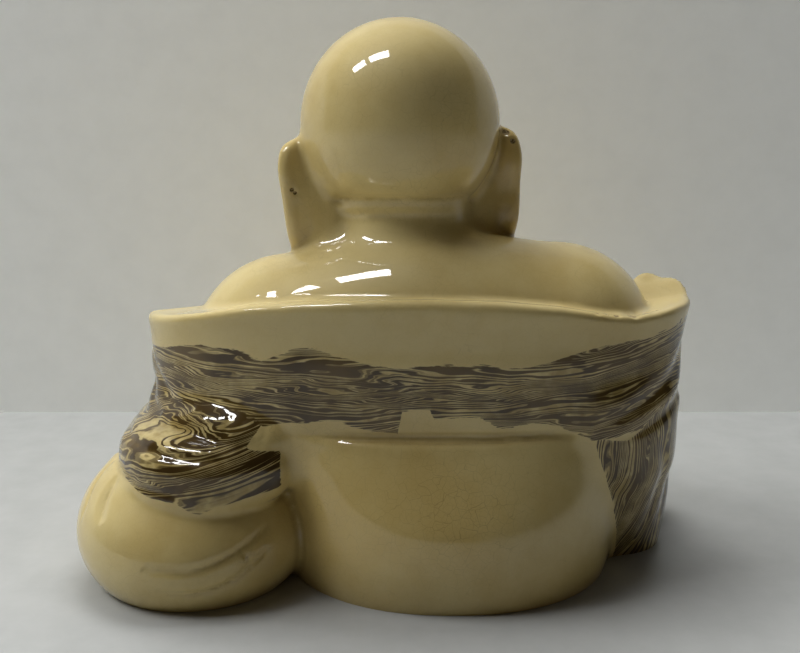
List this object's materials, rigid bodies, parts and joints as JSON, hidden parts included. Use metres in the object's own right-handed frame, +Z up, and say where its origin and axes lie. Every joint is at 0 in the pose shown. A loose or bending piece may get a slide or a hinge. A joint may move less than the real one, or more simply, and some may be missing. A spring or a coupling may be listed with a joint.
{
  "type": "budai figure",
  "caption": "Seated budai in cream crackle-glazed earthenware with marbled clay robe and sleeves, leaning on a round cloth sack.",
  "frame": {"origin": "middle of the footprint, on the surface it stands on", "axes": "+X towards the figure's own left (the sack side), -Y the way the figure faces, +Z up"},
  "size_m": [0.234, 0.1474, 0.2013],
  "materials": {
    "glazed_clay": "glossy cream crackle glaze over cream and brown marbled clay"
  },
  "bodies": {
    "root": {"figure": "glazed_clay"}
  },
  "joints": []
}
